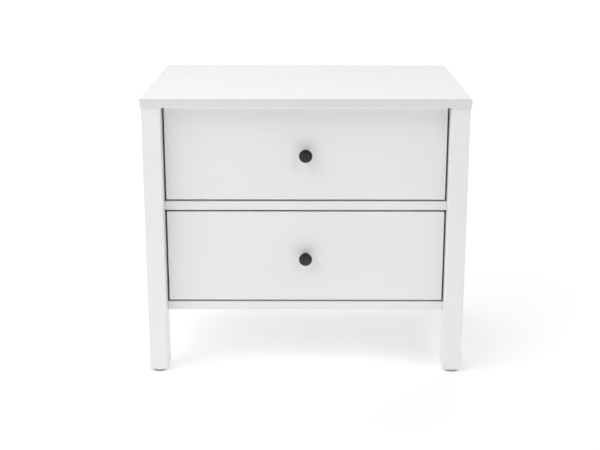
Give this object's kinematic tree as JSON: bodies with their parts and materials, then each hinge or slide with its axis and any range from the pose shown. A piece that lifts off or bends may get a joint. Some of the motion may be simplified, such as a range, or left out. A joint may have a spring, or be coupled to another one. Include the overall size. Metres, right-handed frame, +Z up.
{
  "type": "nightstand with drawers",
  "caption": "Low bedside cabinet on square legs, with sliding drawers on ball-bearing slides and small round knobs.",
  "frame": {"origin": "middle of the footprint, on the floor, below the middle of the top panel", "axes": "+Z up, the drawers open towards -Y, +X to the right of someone facing the drawers"},
  "size_m": [0.535, 0.4, 0.472],
  "materials": {
    "white_lacquer": "satin white lacquer on fibreboard",
    "white_foil": "matt white foil on particleboard",
    "white_hardboard": "matt white painted hardboard",
    "charcoal_paint": "satin charcoal powder coat",
    "slide_zinc": "bright zinc-plated rolled steel",
    "fastener_zinc": "zinc-plated steel",
    "cast_zinc": "dull die-cast zinc alloy",
    "ball_steel": "polished bearing steel",
    "grey_plastic": "matt grey polyethylene",
    "beech": "plain fluted beech dowel"
  },
  "bodies": {
    "case": {"top_panel": "white_lacquer", "front_left_leg": "white_lacquer", "front_right_leg": "white_lacquer", "back_left_leg": "white_lacquer", "back_right_leg": "white_lacquer", "left_side_panel": "white_lacquer", "right_side_panel": "white_lacquer", "bottom_panel": "white_lacquer", "middle_rail": "white_lacquer", "back_panel": "white_hardboard", "front_left_glide": "grey_plastic", "front_right_glide": "grey_plastic", "back_left_glide": "grey_plastic", "back_right_glide": "grey_plastic", "glide_nails": "fastener_zinc", "case_cam_locks": "cast_zinc", "case_cam_bolts": "fastener_zinc", "case_dowels": "beech", "back_panel_nails": "fastener_zinc", "upper_left_cabinet_slide": "slide_zinc", "upper_right_cabinet_slide": "slide_zinc", "lower_left_cabinet_slide": "slide_zinc", "lower_right_cabinet_slide": "slide_zinc", "cabinet_slide_screws": "fastener_zinc"},
    "upper_drawer": {"upper_drawer_front": "white_lacquer", "upper_drawer_left_side": "white_foil", "upper_drawer_right_side": "white_foil", "upper_drawer_back": "white_foil", "upper_drawer_bottom": "white_hardboard", "upper_knob": "charcoal_paint", "upper_knob_screw": "fastener_zinc", "upper_left_drawer_slide": "slide_zinc", "upper_right_drawer_slide": "slide_zinc", "upper_drawer_slide_screws": "fastener_zinc", "upper_drawer_cam_locks": "cast_zinc", "upper_drawer_cam_bolts": "fastener_zinc", "upper_drawer_dowels": "beech", "upper_drawer_back_screws": "fastener_zinc"},
    "lower_drawer": {"lower_drawer_front": "white_lacquer", "lower_drawer_left_side": "white_foil", "lower_drawer_right_side": "white_foil", "lower_drawer_back": "white_foil", "lower_drawer_bottom": "white_hardboard", "lower_knob": "charcoal_paint", "lower_knob_screw": "fastener_zinc", "lower_left_drawer_slide": "slide_zinc", "lower_right_drawer_slide": "slide_zinc", "lower_drawer_slide_screws": "fastener_zinc", "lower_drawer_cam_locks": "cast_zinc", "lower_drawer_cam_bolts": "fastener_zinc", "lower_drawer_dowels": "beech", "lower_drawer_back_screws": "fastener_zinc"},
    "upper_ball_cages": {"upper_left_ball_cage": "slide_zinc", "upper_right_ball_cage": "slide_zinc", "upper_slide_balls": "ball_steel"},
    "lower_ball_cages": {"lower_left_ball_cage": "slide_zinc", "lower_right_ball_cage": "slide_zinc", "lower_slide_balls": "ball_steel"}
  },
  "joints": [
    {"name": "upper_drawer_slide", "type": "slide", "parent": "case", "child": "upper_drawer", "axis": [0, -1, 0], "range_m": [0, 0.22]},
    {"name": "upper_cage_slide", "type": "slide", "parent": "case", "child": "upper_ball_cages", "axis": [0, -1, 0], "range_m": [0, 0.11]},
    {"name": "lower_drawer_slide", "type": "slide", "parent": "case", "child": "lower_drawer", "axis": [0, -1, 0], "range_m": [0, 0.22]},
    {"name": "lower_cage_slide", "type": "slide", "parent": "case", "child": "lower_ball_cages", "axis": [0, -1, 0], "range_m": [0, 0.11]}
  ],
  "couplings": [
    {"joint": "upper_cage_slide", "follows": "upper_drawer_slide", "ratio": 0.5},
    {"joint": "lower_cage_slide", "follows": "lower_drawer_slide", "ratio": 0.5}
  ]
}
